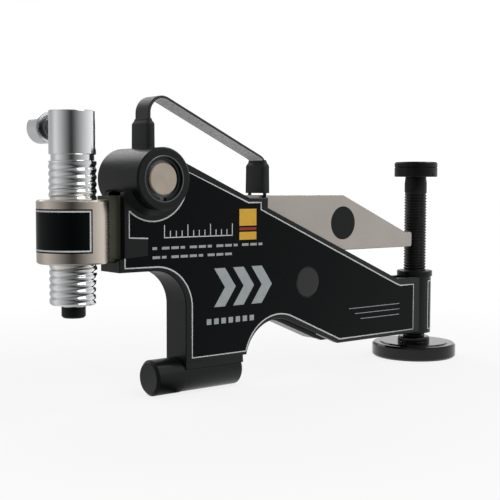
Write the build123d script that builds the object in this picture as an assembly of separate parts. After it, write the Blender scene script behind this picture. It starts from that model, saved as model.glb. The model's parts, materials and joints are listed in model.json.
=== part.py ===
from build123d import *
from math import asin, cos, degrees, radians, sin, sqrt, tan
import os

# Flange alignment tool, millimetres, +Z up.
# Origin: on the axis of the hook bar, in the plane of the neck's flat face.
# +X runs from that face towards the drop leg, +Y to the side away from the printed face.

# Fits and gaps
running_gap = 0.06
slide_gap = 0.3
seat_gap = 0.02
edge_break = 0.6
cut_past = 1.0

# Hook bar, which enters a flange's bolt hole
bar_radius = 15.5
bar_stub = 28.8
bar_heel_x = 63.5
bar_chamfer = 2.4
heel_relief = 0.25
root_relief = 1.5

# Side plates and the channel between them
plate_thickness = 6.0
channel_width = 18.0
slope_angle = 23.2
throat_radius = 32.0
body_floor_drop = 8.7
body_left_x = -61.0
chin_left_x = -65.7
chin_rise = 2.5
shoulder_drop = 11.3
neck_foot_z = 12.5
hand_arc_radius = 36.8
hand_arc_x = 103.0
hand_arc_z = 4.9
toe_floor_z = 11.5
toe_top_z = 69.7
toe_core_x = 222.0
toe_core_drop = 4.0
crown_spacer_x = 52.0

# Load tube and the load pin that rolls on the carriage
tube_x = -33.0
tube_radius = 25.9
tube_bore_radius = 18.0
tube_length = 63.2
tube_slot_rise = 3.1
tube_rim_chamfer = 1.2
weld_size = 5.0
load_pin_radius = 13.5
load_pin_recess = 4.0
pin_chamfer = 0.8
circlip_thickness = 1.6
circlip_reach = 2.6
circlip_groove_depth = 0.6
circlip_opening = 6.0

# Carriage: a flat bar with a collar at one end
carriage_floor_z = 101.5
carriage_height = 54.0
carriage_tip_x = 293.2
carriage_crown_x = 192.6
nose_height = 15.2
nose_fillet = 2.5
guide_disc_radius = 16.2
guide_disc_rise = 26.6
guide_disc_thickness = 3.0
collar_x = -99.5
collar_radius = 28.8
collar_lift = 0.5
collar_height = 50.4
collar_edge = 1.2

# Lower roller that carries the tail of the carriage
cross_pin_x = 141.2
cross_pin_radius = 14.6
roller_radius = 27.6
roller_bush_wall = 2.0
roller_side_gap = 0.5

# Belly bar under the hand arc
belly_bar_proud = 3.8
belly_bar_inset = 5.0
belly_bar_end_x = 157.0
core_to_roller = 6.5

# Hydraulic cylinder in the collar
thread_radius = 19.0
barrel_radius = 18.7
barrel_length = 154.0
barrel_foot_drop = 33.2
barrel_chamfer = 1.6
relief_drop = 39.3
relief_height = 4.7
relief_radius = 17.2
piston_radius = 14.0
stroke = 50.0
gland_length = 30.0
wiper_height = 3.5
wiper_reach = 2.4
piston_length = 14.0
seal_height = 3.5
seal_depth = 2.2
plunger_radius = 9.66
plunger_proud = 10.6
plunger_tip_length = 9.0
tip_spigot_radius = 4.0
plunger_bore_radius = 6.4
plunger_chamfer = 1.4
spring_wire_radius = 0.9
spring_coil_radius = 4.6
spring_turns = 6
anchor_radius = 2.6
anchor_head_radius = 5.6
anchor_head_height = 3.0
anchor_length = 12.0

# Hydraulic inlet at the back of the cylinder
port_drop = 11.8
port_radius = 2.5
nipple_radius = 5.4
nipple_flats = 12.6
nipple_hex_length = 9.0
nipple_start = 12.0
coupler_start = 31.0
coupler_radius = 8.6
coupler_length = 20.0
coupler_collar_length = 7.0
cap_radius = 12.8
cap_start = 36.5
cap_length = 21.0
cap_wall = 2.4
cap_dome = 4.0

# Drop leg
leg_x = 308.0
leg_radius = 11.75
leg_head_radius = 22.5
leg_head_height = 15.8
leg_head_floor_z = 173.9
leg_head_chamfer = 1.6
leg_head_groove = 0.7
leg_head_groove_width = 1.2
leg_head_band = 5.4
leg_neck_length = 6.5
leg_neck_radius = 10.9
leg_socket_flats = 17.0
leg_socket_depth = 11.0
head_pin_radius = 1.5
head_pin_rise = 2.3
leg_boss_radius = 17.2
leg_boss_wall = 2.4
leg_boss_floor_z = 10.0
nut_flange_radius = 18.5
nut_flange_height = 5.6
leg_spigot_radius = 7.0

# Foot pad
foot_radius = 43.8
foot_height = 15.4
foot_chamfer = 1.8
foot_step_radius = 36.0
foot_step = 1.0
hub_radius = 16.8
hub_height = 5.6
hub_chamfer = 1.2
washer_thickness = 1.2
washer_radius = 11.4

# Carrying strap
strap_width = 20.0
strap_thickness = 2.8
strap_fall = 24.6
strap_rise = 75.5
strap_bend_left = 13.2
strap_bend_right = 7.0
strap_socket = 8.0
boot_depth = 6.5
boot_width = 25.5
boot_neck_depth = 4.9
boot_neck_width = 22.4
left_boot_rise = 50.2
left_boot_neck_height = 5.2
right_boot_x = 91.0
right_boot_height = 19.4
right_boot_neck_height = 5.0
boot_edge = 0.9
pad_drop = 3.2
pad_right_x = 91.6
bridge_left_x = 86.6
bridge_right_x = 95.4
bridge_gap = 0.9
bridge_thickness = 3.2

# Places worked out from the dimensions above
half_channel = channel_width / 2
half_body = half_channel + plate_thickness
floor_z = -bar_radius
carriage_top_z = carriage_floor_z + carriage_height
half_carriage = half_channel - slide_gap
tube_z = carriage_top_z + slide_gap + load_pin_radius
cross_pin_z = carriage_floor_z - slide_gap - roller_radius
body_floor_z = carriage_floor_z - body_floor_drop
chin_top_z = carriage_floor_z + chin_rise
guide_disc_z = carriage_floor_z + guide_disc_rise
collar_floor_z = carriage_floor_z + collar_lift
core_top_z = carriage_floor_z - 2 * slide_gap
core_right_x = cross_pin_x - roller_radius - core_to_roller
bridge_floor_z = carriage_top_z + bridge_gap
bridge_top_z = bridge_floor_z + bridge_thickness
pad_top_z = bridge_floor_z - pad_drop
strap_corner_z = tube_z + strap_rise
left_boot_shoulder_z = tube_z + left_boot_rise
left_boot_top_z = left_boot_shoulder_z + left_boot_neck_height
right_boot_shoulder_z = bridge_top_z + right_boot_height
right_boot_top_z = right_boot_shoulder_z + right_boot_neck_height
barrel_foot_z = collar_floor_z - barrel_foot_drop
barrel_top_z = barrel_foot_z + barrel_length
relief_low_z = barrel_top_z - relief_drop
port_z = barrel_top_z - port_drop
plunger_tip_z = barrel_foot_z - plunger_proud
gland_foot_z = barrel_foot_z + slide_gap
gland_top_z = gland_foot_z + gland_length
piston_foot_z = gland_top_z + stroke + slide_gap
piston_top_z = piston_foot_z + piston_length
bore_top_z = piston_top_z + slide_gap
pin_half_length = tube_length / 2 - load_pin_recess
leg_head_top_z = leg_head_floor_z + leg_head_height
hub_top_z = floor_z + foot_height + hub_height
leg_foot_z = hub_top_z + washer_thickness + 2 * running_gap
slope = radians(slope_angle)


def top_slope_z(x):
    """Height of the plates' upper edge, which is tangent to the load tube."""
    return tube_z + (tube_radius - (x - tube_x) * sin(slope)) / cos(slope)


def top_slope_x(z):
    """Place along X where the upper edge has height z."""
    return tube_x + (tube_radius - (z - tube_z) * cos(slope)) / sin(slope)


def belly_slope_z(x):
    """Height of the plates' lower slope, which is tangent to the hand arc."""
    return hand_arc_z + (hand_arc_radius - (x - hand_arc_x) * sin(slope)) / cos(slope)


def belly_slope_x(z):
    """Place along X where the lower slope has height z."""
    return hand_arc_x + (hand_arc_radius - (z - hand_arc_z) * cos(slope)) / sin(slope)


def slab(outline, y_low, y_high):
    """Solid between two Y planes from a closed outline drawn in X and Z."""
    face = Plane.XZ.offset(-y_high) * make_face(outline)
    return extrude(face, amount=y_high - y_low)


def block(x_low, x_high, y_low, y_high, z_low, z_high):
    """Box between two corners."""
    centre = Pos((x_low + x_high) / 2, (y_low + y_high) / 2, (z_low + z_high) / 2)
    return centre * Box(x_high - x_low, y_high - y_low, z_high - z_low)


def post(radius, x, z_low, z_high):
    """Upright round bar on the middle plane."""
    return Pos(x, 0, (z_low + z_high) / 2) * Cylinder(radius, z_high - z_low)


def cross_bar(radius, x, z, y_low, y_high):
    """Round bar along Y."""
    return Pos(x, (y_low + y_high) / 2, z) * Rot(90, 0, 0) * Cylinder(radius, y_high - y_low)


def turned(points, x):
    """Upright turned piece from a closed radius and height outline."""
    return Pos(x, 0, 0) * revolve(Plane.XZ * make_face(Polyline(*points, close=True)), Axis.Z)


def turned_along_y(points, x, z):
    """Turned piece along Y from a closed radius and distance outline."""
    return Pos(x, 0, z) * Rot(-90, 0, 0) * turned(points, 0)


def ring(inner, outer, low, high):
    """Rectangle in radius and height, for a turned ring."""
    return [(inner, low), (outer, low), (outer, high), (inner, high)]


def to_rear(piece):
    """The same piece on the other side of the middle plane."""
    return mirror(piece, about=Plane.XZ)


def side_outline():
    """Closed outline that the side plates and the pieces between them share."""
    throat_mid = throat_radius * sqrt(0.5)
    throat_z = body_floor_z - throat_radius
    foot_lift = neck_foot_z - hand_arc_z
    foot_angle = 180 - degrees(asin(foot_lift / hand_arc_radius))
    top_angle = 90 - slope_angle
    hand_arc = CenterArc((hand_arc_x, hand_arc_z), hand_arc_radius, top_angle, foot_angle - top_angle)
    throat = ThreePointArc(
        (-throat_radius, body_floor_z),
        (throat_mid - throat_radius, throat_z + throat_mid),
        (0, throat_z),
    )
    neck = Polyline((0, throat_z), (0, neck_foot_z), hand_arc @ 1)
    body = Polyline(
        hand_arc @ 0,
        (belly_slope_x(toe_floor_z), toe_floor_z),
        (leg_x, toe_floor_z),
        (leg_x, toe_top_z),
        (top_slope_x(toe_top_z), toe_top_z),
        (pad_right_x, top_slope_z(pad_right_x)),
        (pad_right_x, pad_top_z),
        (top_slope_x(pad_top_z), pad_top_z),
        (tube_x + tube_radius * sin(slope), tube_z + tube_radius * cos(slope)),
        (tube_x, tube_z),
        (body_left_x, tube_z - shoulder_drop),
        (body_left_x, chin_top_z),
        (chin_left_x, chin_top_z),
        (chin_left_x, body_floor_z),
        (-throat_radius, body_floor_z),
    )
    return [*throat.edges(), *neck.edges(), *hand_arc.edges(), *body.edges()]


def tube_space(y_low, y_high):
    """Room for the load tube in the welded pieces."""
    return cross_bar(tube_radius + seat_gap, tube_x, tube_z, y_low, y_high)


def leg_space():
    """Room for the leg boss in the welded pieces."""
    return post(leg_boss_radius + seat_gap, leg_x, floor_z, toe_top_z + leg_boss_radius)


def bar_space():
    """Room for the hook bar under the neck."""
    radius = bar_radius - heel_relief + seat_gap
    return Pos(bar_heel_x / 2, 0, 0) * Rot(0, 90, 0) * Cylinder(radius, 2 * bar_heel_x)


def front_side_plate():
    plate = slab(side_outline(), -half_body, -half_channel)
    face = plate.faces().sort_by(Axis.Y)[0]
    plate = chamfer(face.edges(), edge_break)
    plate -= tube_space(-half_body - cut_past, half_body)
    plate -= cross_bar(cross_pin_radius + seat_gap, cross_pin_x, cross_pin_z, -half_body - cut_past, 0)
    plate -= leg_space()
    return plate - bar_space()


def neck_core():
    window = block(chin_left_x, core_right_x, -half_channel, half_channel, 0, core_top_z)
    core = (slab(side_outline(), -half_channel, half_channel) & window) - bar_space()
    return core - Rot(0, 90, 0) * Cylinder(bar_radius + seat_gap, 2 * root_relief)


def toe_core():
    window = block(toe_core_x, leg_x, -half_channel, half_channel, 0, toe_top_z - toe_core_drop)
    return (slab(side_outline(), -half_channel, half_channel) & window) - leg_space()


def crown_spacer():
    low = carriage_top_z + 2 * slide_gap
    window = block(tube_x, crown_spacer_x, -half_channel, half_channel, low, tube_z + tube_radius)
    return (slab(side_outline(), -half_channel, half_channel) & window) - tube_space(-half_body, half_body)


def belly_bar():
    below = belly_bar_proud / cos(slope)
    above = belly_bar_inset / cos(slope)
    left_z = belly_slope_z(core_right_x)
    right_z = belly_slope_z(belly_bar_end_x)
    outline = Polyline(
        (core_right_x, left_z - below),
        (belly_bar_end_x, right_z - below),
        (belly_bar_end_x, right_z + above),
        (core_right_x, left_z + above),
        close=True,
    )
    return slab(outline, -half_channel, half_channel)


def hook_bar():
    """Round bar whose stub enters the bolt hole; the part under the neck is a little thinner."""
    heel_radius = bar_radius - heel_relief
    profile = Polyline(
        (-bar_stub, 0),
        (-bar_stub, bar_radius - bar_chamfer),
        (bar_chamfer - bar_stub, bar_radius),
        (0, bar_radius),
        (0, heel_radius),
        (bar_heel_x - bar_chamfer, heel_radius),
        (bar_heel_x, heel_radius - bar_chamfer),
        (bar_heel_x, 0),
        close=True,
    )
    return revolve(Plane.XZ * make_face(profile), Axis.X)


def bar_welds():
    """Fillet welds that fill the corner between the plates' feet and the bar."""
    profile = Polyline(
        (half_channel, neck_foot_z),
        (half_body - edge_break, neck_foot_z),
        (bar_radius - edge_break, neck_foot_z / 2),
        (bar_radius - weld_size, neck_foot_z / 2),
        close=True,
    )
    length = bar_heel_x - 2 * edge_break
    bead = extrude(Plane.YZ.offset(edge_break) * make_face(profile), amount=length) - bar_space()
    return Compound(children=[bead, to_rear(bead)])


def load_tube():
    half = tube_length / 2
    groove_low = pin_half_length + slide_gap
    groove_high = groove_low + circlip_thickness
    groove = tube_bore_radius + circlip_groove_depth
    tube = turned_along_y(
        [
            (tube_bore_radius, -half),
            (tube_radius - tube_rim_chamfer, -half),
            (tube_radius, -half + tube_rim_chamfer),
            (tube_radius, half - tube_rim_chamfer),
            (tube_radius - tube_rim_chamfer, half),
            (tube_bore_radius, half),
        ],
        tube_x,
        tube_z,
    )
    for sign in (-1, 1):
        low, high = sorted((sign * groove_low, sign * groove_high))
        tube -= cross_bar(groove, tube_x, tube_z, low, high)
    slot_top = carriage_top_z + tube_slot_rise
    reach = tube_radius + cut_past
    return tube - block(tube_x - reach, tube_x + reach, -half_channel, half_channel, 0, slot_top)


def tube_weld():
    """Fillet weld round the tube on the outside of the front plate."""
    inner = tube_radius + seat_gap
    bead = turned_along_y(
        [
            (inner, -half_body),
            (inner, -half_body - weld_size),
            (inner + weld_size, -half_body),
        ],
        tube_x,
        tube_z,
    )
    return bead & slab(side_outline(), -half_body - weld_size, -half_body)


def pin_bush():
    outer = tube_bore_radius - seat_gap
    inner = load_pin_radius + running_gap
    return turned_along_y(ring(inner, outer, -pin_half_length, -half_channel - slide_gap), tube_x, tube_z)


def circlip():
    outer = tube_bore_radius + circlip_groove_depth - seat_gap
    inner = tube_bore_radius - circlip_reach
    far = -pin_half_length - slide_gap - circlip_thickness + seat_gap
    clip = turned_along_y(ring(inner, outer, far, far + circlip_thickness - 2 * seat_gap), tube_x, tube_z)
    half = circlip_opening / 2
    return clip - block(tube_x - half, tube_x + half, -tube_length, 0, tube_z - tube_radius, tube_z)


def load_pin():
    return turned_along_y(
        [
            (0, -pin_half_length),
            (load_pin_radius - pin_chamfer, -pin_half_length),
            (load_pin_radius, -pin_half_length + pin_chamfer),
            (load_pin_radius, pin_half_length - pin_chamfer),
            (load_pin_radius - pin_chamfer, pin_half_length),
            (0, pin_half_length),
        ],
        tube_x,
        tube_z,
    )


def cross_pin():
    return turned_along_y(
        [
            (0, -half_body),
            (cross_pin_radius - pin_chamfer, -half_body),
            (cross_pin_radius, -half_body + pin_chamfer),
            (cross_pin_radius, half_body - pin_chamfer),
            (cross_pin_radius - pin_chamfer, half_body),
            (0, half_body),
        ],
        cross_pin_x,
        cross_pin_z,
    )


def roller_bush():
    half = half_channel - roller_side_gap
    inner = cross_pin_radius + running_gap
    return turned_along_y(ring(inner, inner + roller_bush_wall, -half, half), cross_pin_x, cross_pin_z)


def support_roller():
    half = half_channel - roller_side_gap
    inner = cross_pin_radius + running_gap + roller_bush_wall + seat_gap
    return turned_along_y(ring(inner, roller_radius, -half, half), cross_pin_x, cross_pin_z)


def carriage_plate():
    """Flat bar with a sloping tail, cut to the collar at its left end."""
    nose_top = carriage_floor_z + nose_height
    nose_x = carriage_crown_x + (carriage_top_z - nose_top) / tan(slope)
    outline = Polyline(
        (collar_x, carriage_floor_z),
        (carriage_tip_x, carriage_floor_z),
        (carriage_tip_x, nose_top),
        (nose_x, nose_top),
        (carriage_crown_x, carriage_top_z),
        (collar_x, carriage_top_z),
        close=True,
    )
    bar = slab(outline, -half_carriage, half_carriage)
    tip = bar.edges().filter_by(Axis.Y).sort_by(Axis.X)[-2:]
    bar = fillet(tip, nose_fillet)
    sides = bar.faces().filter_by(Axis.Y)
    bar = chamfer([edge for side in sides for edge in side.edges()], edge_break)
    for side in (-1, 1):
        low, high = sorted((side * half_carriage, side * (half_carriage - guide_disc_thickness)))
        bar -= cross_bar(guide_disc_radius + seat_gap, carriage_crown_x, guide_disc_z, low, high)
    return bar - post(collar_radius + seat_gap, collar_x, 0, barrel_top_z)


def guide_discs():
    low = half_carriage - guide_disc_thickness + seat_gap
    disc = cross_bar(guide_disc_radius, carriage_crown_x, guide_disc_z, -half_carriage, -low)
    return Compound(children=[disc, to_rear(disc)])


def collar():
    body = post(collar_radius, collar_x, collar_floor_z, collar_floor_z + collar_height)
    body = chamfer(body.edges().filter_by(GeomType.CIRCLE), collar_edge)
    return body - post(thread_radius + running_gap, collar_x, 0, barrel_top_z)


def cylinder_barrel():
    relief_high_z = relief_low_z + relief_height
    body = turned(
        [
            (piston_radius, barrel_foot_z),
            (thread_radius - barrel_chamfer, barrel_foot_z),
            (thread_radius, barrel_foot_z + barrel_chamfer),
            (thread_radius, relief_low_z - edge_break),
            (relief_radius, relief_low_z),
            (relief_radius, relief_high_z),
            (barrel_radius, relief_high_z),
            (barrel_radius, barrel_top_z - edge_break),
            (barrel_radius - edge_break, barrel_top_z),
            (0, barrel_top_z),
            (0, bore_top_z),
            (piston_radius, bore_top_z),
        ],
        collar_x,
    )
    body -= cross_bar(nipple_radius + seat_gap, collar_x, port_z, nipple_start, barrel_radius + cut_past)
    body -= cross_bar(port_radius, collar_x, port_z, 0, nipple_start)
    body -= post(port_radius, collar_x, bore_top_z + anchor_length + seat_gap, port_z)
    return body - post(anchor_radius + seat_gap, collar_x, bore_top_z, bore_top_z + anchor_length)


def spring_anchor():
    """Stud in the cylinder's head that holds the upper end of the return spring."""
    low = bore_top_z - piston_length - anchor_head_height
    stud = post(anchor_radius, collar_x, low, bore_top_z + anchor_length)
    head = post(anchor_head_radius, collar_x, low, low + anchor_head_height)
    vent = post(port_radius / 2, collar_x, low, bore_top_z + anchor_length)
    return stud + head - vent


def gland_bush():
    outer = piston_radius - running_gap
    inner = plunger_radius + running_gap
    wiper_top = gland_foot_z + wiper_height
    return turned(
        [
            (inner + wiper_reach, gland_foot_z),
            (outer, gland_foot_z),
            (outer, gland_top_z),
            (inner, gland_top_z),
            (inner, wiper_top),
            (inner + wiper_reach, wiper_top),
        ],
        collar_x,
    )


def wiper_seal():
    inner = plunger_radius + running_gap
    outer = inner + wiper_reach - seat_gap
    return turned(ring(inner, outer, gland_foot_z, gland_foot_z + wiper_height - seat_gap), collar_x)


def plunger():
    """Rod with the piston on top and a deep bore for the return spring."""
    outer = piston_radius - running_gap
    foot = plunger_tip_z + plunger_tip_length + seat_gap
    seal_low = piston_foot_z + (piston_length - seal_height) / 2
    bore_foot = foot + 2 * tip_spigot_radius
    body = turned(
        [
            (0, foot),
            (plunger_radius, foot),
            (plunger_radius, piston_foot_z),
            (outer, piston_foot_z),
            (outer, seal_low),
            (outer - seal_depth, seal_low),
            (outer - seal_depth, seal_low + seal_height),
            (outer, seal_low + seal_height),
            (outer, piston_top_z),
            (plunger_bore_radius, piston_top_z),
            (plunger_bore_radius, bore_foot),
            (0, bore_foot),
        ],
        collar_x,
    )
    return body - post(tip_spigot_radius + seat_gap, collar_x, foot, foot + tip_spigot_radius)


def piston_seal():
    outer = piston_radius - running_gap
    low = piston_foot_z + (piston_length - seal_height) / 2 + seat_gap
    return turned(
        ring(outer - seal_depth + seat_gap, outer, low, low + seal_height - 2 * seat_gap), collar_x
    )


def plunger_tip():
    top = plunger_tip_z + plunger_tip_length
    return turned(
        [
            (0, plunger_tip_z),
            (plunger_radius - plunger_chamfer, plunger_tip_z),
            (plunger_radius, plunger_tip_z + plunger_chamfer),
            (plunger_radius, top),
            (tip_spigot_radius, top),
            (tip_spigot_radius, top + tip_spigot_radius - seat_gap),
            (0, top + tip_spigot_radius - seat_gap),
        ],
        collar_x,
    )


def return_spring():
    """Tension spring between the plunger's foot and the stud."""
    low = plunger_tip_z + plunger_tip_length + 2 * tip_spigot_radius + 2 * spring_wire_radius
    high = bore_top_z - piston_length - anchor_head_height - 2 * spring_wire_radius
    pitch = (high - low) / spring_turns
    path = Helix(pitch, high - low, spring_coil_radius)
    side = spring_wire_radius * 2
    section = Plane(origin=path @ 0, z_dir=path % 0) * Rectangle(side, side)
    return Pos(collar_x, 0, low) * sweep(section, path, is_frenet=True)


def coupler_nipple():
    hex_face = Plane.XZ.offset(-coupler_start) * RegularPolygon(
        nipple_flats / 2, 6, major_radius=False
    )
    hexagon = Pos(collar_x, 0, port_z) * extrude(hex_face, amount=nipple_hex_length)
    stem = cross_bar(nipple_radius, collar_x, port_z, nipple_start + seat_gap, coupler_start)
    return hexagon + stem - cross_bar(port_radius, collar_x, port_z, 0, coupler_start)


def coupler_body():
    high = coupler_start + coupler_length
    collar_low = cap_start + cap_wall
    collar_high = collar_low + coupler_collar_length
    collar_radius_here = cap_radius - cap_wall - running_gap
    return turned_along_y(
        [
            (port_radius, coupler_start),
            (coupler_radius, coupler_start),
            (coupler_radius, collar_low),
            (collar_radius_here, collar_low),
            (collar_radius_here, collar_high),
            (coupler_radius, collar_high),
            (coupler_radius, high - edge_break),
            (coupler_radius - edge_break, high),
            (port_radius, high),
        ],
        collar_x,
        port_z,
    )


def dust_cap():
    """Cup over the coupler, with its closed end away from the cylinder."""
    high = cap_start + cap_length
    inner = cap_radius - cap_wall
    floor_y = high - cap_wall - edge_break
    return turned_along_y(
        [
            (inner, cap_start),
            (cap_radius - edge_break, cap_start),
            (cap_radius, cap_start + edge_break),
            (cap_radius, high - cap_dome),
            (cap_radius - cap_dome / 2, high - edge_break),
            (cap_radius - cap_dome, high),
            (0, high),
            (0, floor_y),
            (inner, floor_y),
        ],
        collar_x,
        port_z,
    )


def leg_boss():
    inner = leg_boss_radius - leg_boss_wall
    return turned(ring(inner, leg_boss_radius, leg_boss_floor_z, toe_top_z), leg_x)


def leg_nut():
    inner = leg_radius + running_gap
    outer = leg_boss_radius - leg_boss_wall - seat_gap
    flange_top = toe_top_z + nut_flange_height
    return turned(
        [
            (inner, leg_boss_floor_z),
            (outer, leg_boss_floor_z),
            (outer, toe_top_z),
            (nut_flange_radius, toe_top_z),
            (nut_flange_radius, flange_top - edge_break),
            (nut_flange_radius - edge_break, flange_top),
            (inner, flange_top),
        ],
        leg_x,
    )


def leg_screw():
    socket_floor = leg_head_top_z - leg_socket_depth
    shoulder = leg_head_floor_z - leg_neck_length
    foot = leg_foot_z
    body = turned(
        [
            (0, floor_z + foot_height / 2 + seat_gap),
            (leg_spigot_radius, floor_z + foot_height / 2 + seat_gap),
            (leg_spigot_radius, foot),
            (leg_radius - edge_break, foot),
            (leg_radius, foot + edge_break),
            (leg_radius, shoulder),
            (leg_neck_radius, leg_head_floor_z),
            (leg_neck_radius, socket_floor - edge_break),
            (0, socket_floor - edge_break),
        ],
        leg_x,
    )
    return body - head_pin_space()


def head_pin_space():
    height = leg_head_floor_z + head_pin_rise
    reach = leg_head_radius + cut_past
    return cross_bar(head_pin_radius + seat_gap, leg_x, height, -reach, reach)


def head_pin():
    height = leg_head_floor_z + head_pin_rise
    length = leg_head_radius - edge_break
    return cross_bar(head_pin_radius, leg_x, height, -length, length)


def leg_head():
    groove_z = leg_head_top_z - leg_head_band - leg_head_groove_width / 2
    low, high = leg_head_floor_z, leg_head_top_z
    bore_top = high - leg_socket_depth - edge_break + seat_gap
    body = turned(
        [
            (leg_neck_radius + seat_gap, low),
            (leg_head_radius - edge_break, low),
            (leg_head_radius, low + edge_break),
            (leg_head_radius, groove_z - leg_head_groove_width / 2),
            (leg_head_radius - leg_head_groove, groove_z),
            (leg_head_radius, groove_z + leg_head_groove_width / 2),
            (leg_head_radius, high - leg_head_chamfer),
            (leg_head_radius - leg_head_chamfer, high),
            (0, high),
            (0, bore_top),
            (leg_neck_radius + seat_gap, bore_top),
        ],
        leg_x,
    )
    socket = RegularPolygon(leg_socket_flats / 2, 6, major_radius=False)
    body -= extrude(Pos(leg_x, 0, high - leg_socket_depth) * socket, amount=2 * leg_socket_depth)
    return body - head_pin_space()


def foot_pad():
    top = floor_z + foot_height
    hub = top + hub_height
    pocket = leg_spigot_radius + running_gap
    return turned(
        [
            (0, floor_z),
            (foot_radius - foot_chamfer, floor_z),
            (foot_radius, floor_z + foot_chamfer),
            (foot_radius, top - foot_chamfer - foot_step),
            (foot_radius - foot_chamfer, top - foot_step),
            (foot_step_radius, top - foot_step),
            (foot_step_radius - foot_step, top),
            (hub_radius, top),
            (hub_radius, hub - hub_chamfer),
            (hub_radius - hub_chamfer, hub),
            (pocket, hub),
            (pocket, floor_z + foot_height / 2),
            (0, floor_z + foot_height / 2),
        ],
        leg_x,
    )


def thrust_washer():
    low = hub_top_z + running_gap
    return turned(ring(leg_spigot_radius + running_gap, washer_radius, low, low + washer_thickness), leg_x)


def strap_path():
    """Middle line of the strap from socket to socket."""
    right_z = strap_corner_z - (right_boot_x - tube_x) * tan(radians(strap_fall))
    return FilletPolyline(
        (tube_x, 0, left_boot_top_z - strap_socket),
        (tube_x, 0, strap_corner_z),
        (right_boot_x, 0, right_z),
        (right_boot_x, 0, right_boot_top_z - strap_socket),
        radius=[strap_bend_left, strap_bend_right],
    )


def handle_strap():
    path = strap_path()
    section = Plane(origin=path @ 0, z_dir=path % 0) * Rectangle(strap_thickness, strap_width)
    return sweep(section, path)


def boot(x, low, shoulder, top):
    """Moulded end of the strap with a narrower neck."""
    body = block(x - boot_depth / 2, x + boot_depth / 2, -boot_width / 2, boot_width / 2, low, shoulder)
    body = fillet(body.edges().filter_by(Axis.Z), boot_edge)
    neck = block(
        x - boot_neck_depth / 2,
        x + boot_neck_depth / 2,
        -boot_neck_width / 2,
        boot_neck_width / 2,
        shoulder,
        top,
    )
    half_slot = strap_thickness / 2 + seat_gap
    half_width = strap_width / 2 + seat_gap
    slot = block(x - half_slot, x + half_slot, -half_width, half_width, top - strap_socket, top)
    return body + neck - slot


def left_boot():
    low = tube_z + tube_radius / 2
    body = boot(tube_x, low, left_boot_shoulder_z, left_boot_top_z)
    return body - tube_space(-half_body, half_body)


def right_boot():
    return boot(right_boot_x, bridge_top_z, right_boot_shoulder_z, right_boot_top_z)


def handle_bridge():
    """Bridge over the carriage that carries the strap's right end."""
    bar = block(bridge_left_x, bridge_right_x, -half_body, half_body, bridge_floor_z, bridge_top_z)
    bar = fillet(bar.edges().filter_by(Axis.Z), boot_edge)
    for side in (-1, 1):
        low, high = sorted((side * half_channel, side * half_body))
        bar += block(bridge_left_x, pad_right_x, low, high, pad_top_z, bridge_floor_z)
    return bar


def build_all():
    """Every piece by its node name."""
    front_plate = front_side_plate()
    weld = tube_weld()
    bush = pin_bush()
    clip = circlip()
    return {
        "front_side_plate": front_plate,
        "rear_side_plate": to_rear(front_plate),
        "neck_core": neck_core(),
        "toe_core": toe_core(),
        "crown_spacer": crown_spacer(),
        "belly_bar": belly_bar(),
        "hook_bar": hook_bar(),
        "bar_welds": bar_welds(),
        "load_tube": load_tube(),
        "front_tube_weld": weld,
        "rear_tube_weld": to_rear(weld),
        "front_pin_bush": bush,
        "rear_pin_bush": to_rear(bush),
        "front_circlip": clip,
        "rear_circlip": to_rear(clip),
        "cross_pin": cross_pin(),
        "leg_boss": leg_boss(),
        "leg_nut": leg_nut(),
        "handle_bridge": handle_bridge(),
        "handle_strap": handle_strap(),
        "left_boot": left_boot(),
        "right_boot": right_boot(),
        "load_pin": load_pin(),
        "roller_bush": roller_bush(),
        "support_roller": support_roller(),
        "carriage_plate": carriage_plate(),
        "guide_discs": guide_discs(),
        "collar": collar(),
        "gland_bush": gland_bush(),
        "wiper_seal": wiper_seal(),
        "cylinder_barrel": cylinder_barrel(),
        "spring_anchor": spring_anchor(),
        "coupler_nipple": coupler_nipple(),
        "coupler_body": coupler_body(),
        "dust_cap": dust_cap(),
        "plunger": plunger(),
        "piston_seal": piston_seal(),
        "plunger_tip": plunger_tip(),
        "return_spring": return_spring(),
        "foot_pad": foot_pad(),
        "thrust_washer": thrust_washer(),
        "leg_screw": leg_screw(),
        "leg_head": leg_head(),
        "head_pin": head_pin(),
    }


os.makedirs("parts", exist_ok=True)
for name, piece in build_all().items():
    export_step(piece, f"parts/{name}.step")
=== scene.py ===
import bpy
import json
from math import atan2, cos, hypot, pi, radians, sin, tan
from mathutils import Matrix, Vector


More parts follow.
